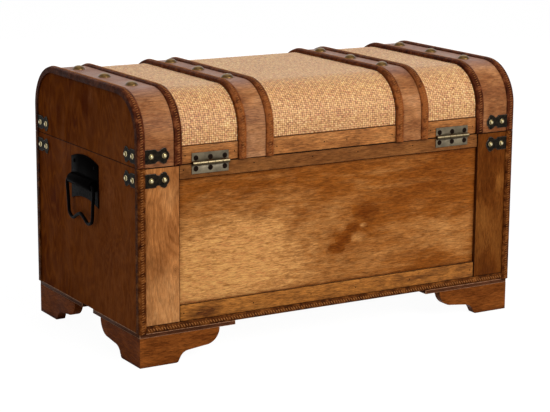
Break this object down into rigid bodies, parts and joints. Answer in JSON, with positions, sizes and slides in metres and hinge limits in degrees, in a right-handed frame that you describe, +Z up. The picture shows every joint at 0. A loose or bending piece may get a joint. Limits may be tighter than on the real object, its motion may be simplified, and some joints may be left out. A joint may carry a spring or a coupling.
{
  "type": "sea chest",
  "caption": "Wooden sea chest with a hinged round-cornered lid, leather straps, woven lid cover, iron corners, end handles and bracket feet.",
  "frame": {"origin": "on the floor, under the middle of the chest", "axes": "+X along the chest to the right as seen from the front, +Y to the back, where the hinges are, +Z up"},
  "size_m": [0.6818, 0.3611, 0.4],
  "materials": {
    "panel_wood": "satin varnished plywood",
    "frame_wood": "satin varnished wood",
    "foot_wood": "satin varnished wood",
    "board_wood": "bare plywood",
    "leather": "satin red-brown leather",
    "weave": "matt basket weave",
    "iron": "blackened",
    "brass": "antique"
  },
  "bodies": {
    "case": {"floor_board": "board_wood", "catch_keeper": "brass", "case_end_left": "panel_wood", "handle_plate_left": "iron", "hinge_case_leaf_left": "brass", "case_end_right": "panel_wood", "handle_plate_right": "iron", "hinge_case_leaf_right": "brass", "case_panel_front": "panel_wood", "case_top_rail_front": "frame_wood", "case_bottom_rail_front": "frame_wood", "bottom_trim_front": "leather", "case_panel_back": "panel_wood", "case_top_rail_back": "frame_wood", "case_bottom_rail_back": "frame_wood", "bottom_trim_back": "leather", "stile_front_left": "frame_wood", "corner_leather_front_left": "leather", "case_bracket_front_left": "iron", "foot_front_left": "foot_wood", "foot_plate_front_left": "foot_wood", "stile_front_right": "frame_wood", "corner_leather_front_right": "leather", "case_bracket_front_right": "iron", "foot_front_right": "foot_wood", "foot_plate_front_right": "foot_wood", "stile_back_left": "frame_wood", "corner_leather_back_left": "leather", "case_bracket_back_left": "iron", "foot_back_left": "foot_wood", "foot_plate_back_left": "foot_wood", "stile_back_right": "frame_wood", "corner_leather_back_right": "leather", "case_bracket_back_right": "iron", "foot_back_right": "foot_wood", "foot_plate_back_right": "foot_wood"},
    "lid": {"lid_shell": "board_wood", "lid_weave": "weave", "catch_tongue": "brass", "lid_end_left": "panel_wood", "strap_band_middle_left": "frame_wood", "strap_band_end_left": "frame_wood", "strap_leather_middle_left": "leather", "strap_leather_end_left": "leather", "hinge_lid_leaf_left": "brass", "lid_end_right": "panel_wood", "strap_band_middle_right": "frame_wood", "strap_band_end_right": "frame_wood", "strap_leather_middle_right": "leather", "strap_leather_end_right": "leather", "hinge_lid_leaf_right": "brass", "lid_rail_front": "frame_wood", "lid_rail_back": "frame_wood", "lid_bracket_front_left": "iron", "lid_bracket_front_right": "iron", "lid_bracket_back_left": "iron", "lid_bracket_back_right": "iron"},
    "handle_left": {"bail_left": "iron"},
    "handle_right": {"bail_right": "iron"}
  },
  "joints": [
    {"name": "lid_hinge", "type": "hinge", "parent": "case", "child": "lid", "pos_m": [0, 0.1778, 0.2914], "axis": [-1, 0, 0], "range_deg": [0, 100]},
    {"name": "handle_left_pivot", "type": "hinge", "parent": "case", "child": "handle_left", "pos_m": [-0.3366, 0, 0.242], "axis": [0, 1, 0], "range_deg": [-4, 95]},
    {"name": "handle_right_pivot", "type": "hinge", "parent": "case", "child": "handle_right", "pos_m": [0.3366, 0, 0.242], "axis": [0, -1, 0], "range_deg": [-4, 95]}
  ]
}
